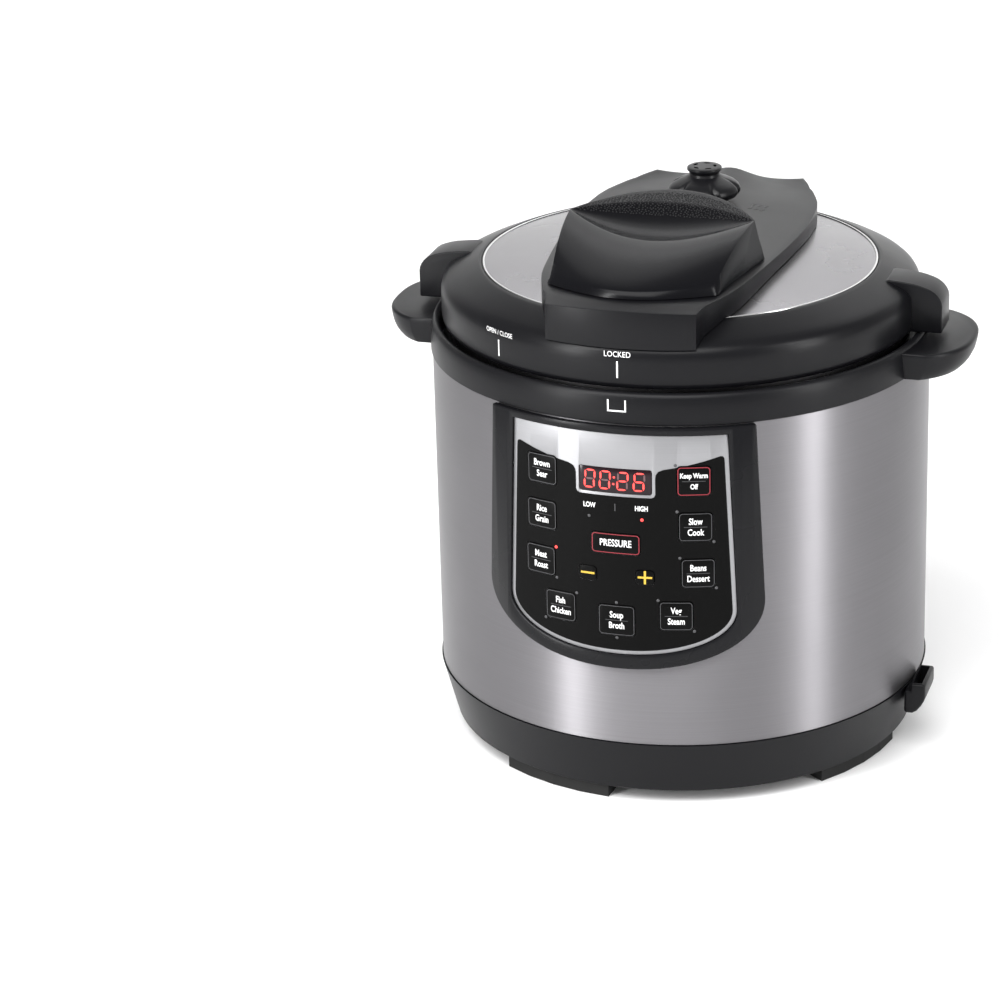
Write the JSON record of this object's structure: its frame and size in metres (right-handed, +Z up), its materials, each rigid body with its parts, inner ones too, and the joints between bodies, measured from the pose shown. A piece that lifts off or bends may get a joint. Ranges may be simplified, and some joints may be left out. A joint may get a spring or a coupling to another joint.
{
  "type": "electric pressure cooker",
  "caption": "Round brushed-steel electric pressure cooker with a twist-lock lid, a carrying grip, side handles, a release valve and a keypad with a digital display.",
  "frame": {"origin": "on the floor, on the cooker's axis", "axes": "+Z up, -Y to the front with the control panel, +X to the cooker's right as seen from the front"},
  "size_m": [0.35, 0.297, 0.328],
  "materials": {
    "black_plastic": "fine satin moulded plastic, black",
    "gloss_black": "semi-gloss black",
    "grip_black": "smooth semi-gloss black with a pebbled strip at the crest",
    "valve_black": "matt black",
    "brushed_steel": "stainless steel brushed round the body",
    "satin_steel": "satin stainless steel with a bright rim",
    "polished_steel": "polished stainless steel",
    "plain_steel": "bright steel",
    "aluminium": "pressed aluminium",
    "cast_aluminium": "cast aluminium, machined top",
    "panel_print": "black print with a silver border",
    "key_black": "black membrane with a thin grey outline",
    "display_red": "dark red filter",
    "display_body": "white plastic",
    "circuit_board": "green solder mask",
    "component_black": "black moulded plastic",
    "transformer_yellow": "yellow tape over windings",
    "relay_blue": "blue plastic",
    "brass_pin": "nickel-plated brass",
    "rubber_black": "black rubber",
    "clear_silicone": "milky silicone",
    "red_silicone": "red silicone"
  },
  "bodies": {
    "root": {"base_shell": "black_plastic", "bottom_cover": "black_plastic", "outer_sleeve": "brushed_steel", "top_collar": "black_plastic", "outer_pot": "aluminium", "cooking_pot": "polished_steel", "heating_plate": "cast_aluminium", "sensor_bracket": "plain_steel", "sensor_spring": "plain_steel", "elastic_beam": "plain_steel", "pressure_switch": "component_black", "thermal_fuse": "plain_steel", "power_board": "circuit_board", "transformer": "transformer_yellow", "relay": "relay_blue", "control_board": "circuit_board", "display_module": "display_body", "display_window": "display_red", "panel_bezel": "gloss_black", "control_panel": "panel_print", "inlet_socket": "component_black", "foot_1": "rubber_black", "bottom_screw_1": "plain_steel", "foot_2": "rubber_black", "bottom_screw_2": "plain_steel", "foot_3": "rubber_black", "bottom_screw_3": "plain_steel", "foot_4": "rubber_black", "bottom_screw_4": "plain_steel", "inlet_pin_1": "brass_pin", "inlet_pin_2": "brass_pin", "inlet_pin_3": "brass_pin"},
    "lid_seal": {"sealing_ring": "clear_silicone"},
    "lid": {"lid_ring": "black_plastic", "lid_plate": "satin_steel", "handle_bridge": "black_plastic", "grip_cover": "grip_black", "vent_pipe": "plain_steel", "vent_nut": "plain_steel", "anti_block_shield": "plain_steel", "seal_retainer": "plain_steel", "lid_screw_1": "plain_steel", "lid_screw_2": "plain_steel"},
    "valve": {"regulating_valve": "valve_black", "valve_weight": "plain_steel"},
    "float": {"float_valve": "plain_steel", "float_gasket": "red_silicone"},
    "sensor": {"sensor_cap": "aluminium"},
    "key_brown": {"key_brown": "key_black"},
    "key_rice": {"key_rice": "key_black"},
    "key_meat": {"key_meat": "key_black"},
    "key_poultry": {"key_poultry": "key_black"},
    "key_soup": {"key_soup": "key_black"},
    "key_vegetables": {"key_vegetables": "key_black"},
    "key_desserts": {"key_desserts": "key_black"},
    "key_slow_cook": {"key_slow_cook": "key_black"},
    "key_keep_warm": {"key_keep_warm": "key_black"},
    "key_pressure": {"key_pressure": "key_black"},
    "key_minus": {"key_minus": "key_black"},
    "key_plus": {"key_plus": "key_black"}
  },
  "joints": [
    {"name": "lid_lift", "type": "slide", "parent": "root", "child": "lid_seal", "axis": [0, 0, 1], "range_m": [0, 0.15]},
    {"name": "lid_turn", "type": "hinge", "parent": "lid_seal", "child": "lid", "pos_m": [0, 0, 0.26], "axis": [0, 0, 1], "range_deg": [0, 32]},
    {"name": "valve_turn", "type": "hinge", "parent": "lid", "child": "valve", "pos_m": [0, 0.06, 0.306], "axis": [0, 0, 1], "range_deg": [0, 45]},
    {"name": "float_rise", "type": "slide", "parent": "lid", "child": "float", "axis": [0, 0, 1], "range_m": [0, 0.0035]},
    {"name": "sensor_press", "type": "slide", "parent": "root", "child": "sensor", "axis": [0, 0, 1], "range_m": [-0.003, 0], "stiffness_N_per_m": 300, "springref_m": 0.001, "deforming": ["sensor_spring"]},
    {"name": "key_brown_press", "type": "slide", "parent": "root", "child": "key_brown", "axis": [0.294, 0.9558, 0], "range_m": [0, 0.0005], "stiffness_N_per_m": 300, "springref_m": -0.0003},
    {"name": "key_rice_press", "type": "slide", "parent": "root", "child": "key_rice", "axis": [0.299, 0.9542, 0], "range_m": [0, 0.0005], "stiffness_N_per_m": 300, "springref_m": -0.0003},
    {"name": "key_meat_press", "type": "slide", "parent": "root", "child": "key_meat", "axis": [0.3074, 0.9516, 0], "range_m": [0, 0.0005], "stiffness_N_per_m": 300, "springref_m": -0.0003},
    {"name": "key_poultry_press", "type": "slide", "parent": "root", "child": "key_poultry", "axis": [0.2267, 0.974, 0], "range_m": [0, 0.0005], "stiffness_N_per_m": 300, "springref_m": -0.0003},
    {"name": "key_soup_press", "type": "slide", "parent": "root", "child": "key_soup", "axis": [0, 1, 0], "range_m": [0, 0.0005], "stiffness_N_per_m": 300, "springref_m": -0.0003},
    {"name": "key_vegetables_press", "type": "slide", "parent": "root", "child": "key_vegetables", "axis": [-0.2267, 0.974, 0], "range_m": [0, 0.0005], "stiffness_N_per_m": 300, "springref_m": -0.0003},
    {"name": "key_desserts_press", "type": "slide", "parent": "root", "child": "key_desserts", "axis": [-0.3074, 0.9516, 0], "range_m": [0, 0.0005], "stiffness_N_per_m": 300, "springref_m": -0.0003},
    {"name": "key_slow_cook_press", "type": "slide", "parent": "root", "child": "key_slow_cook", "axis": [-0.299, 0.9542, 0], "range_m": [0, 0.0005], "stiffness_N_per_m": 300, "springref_m": -0.0003},
    {"name": "key_keep_warm_press", "type": "slide", "parent": "root", "child": "key_keep_warm", "axis": [-0.294, 0.9558, 0], "range_m": [0, 0.0005], "stiffness_N_per_m": 300, "springref_m": -0.0003},
    {"name": "key_pressure_press", "type": "slide", "parent": "root", "child": "key_pressure", "axis": [0, 1, 0], "range_m": [0, 0.0005], "stiffness_N_per_m": 300, "springref_m": -0.0003},
    {"name": "key_minus_press", "type": "slide", "parent": "root", "child": "key_minus", "axis": [0.1115, 0.9938, 0], "range_m": [0, 0.0005], "stiffness_N_per_m": 300, "springref_m": -0.0003},
    {"name": "key_plus_press", "type": "slide", "parent": "root", "child": "key_plus", "axis": [-0.1115, 0.9938, 0], "range_m": [0, 0.0005], "stiffness_N_per_m": 300, "springref_m": -0.0003}
  ]
}
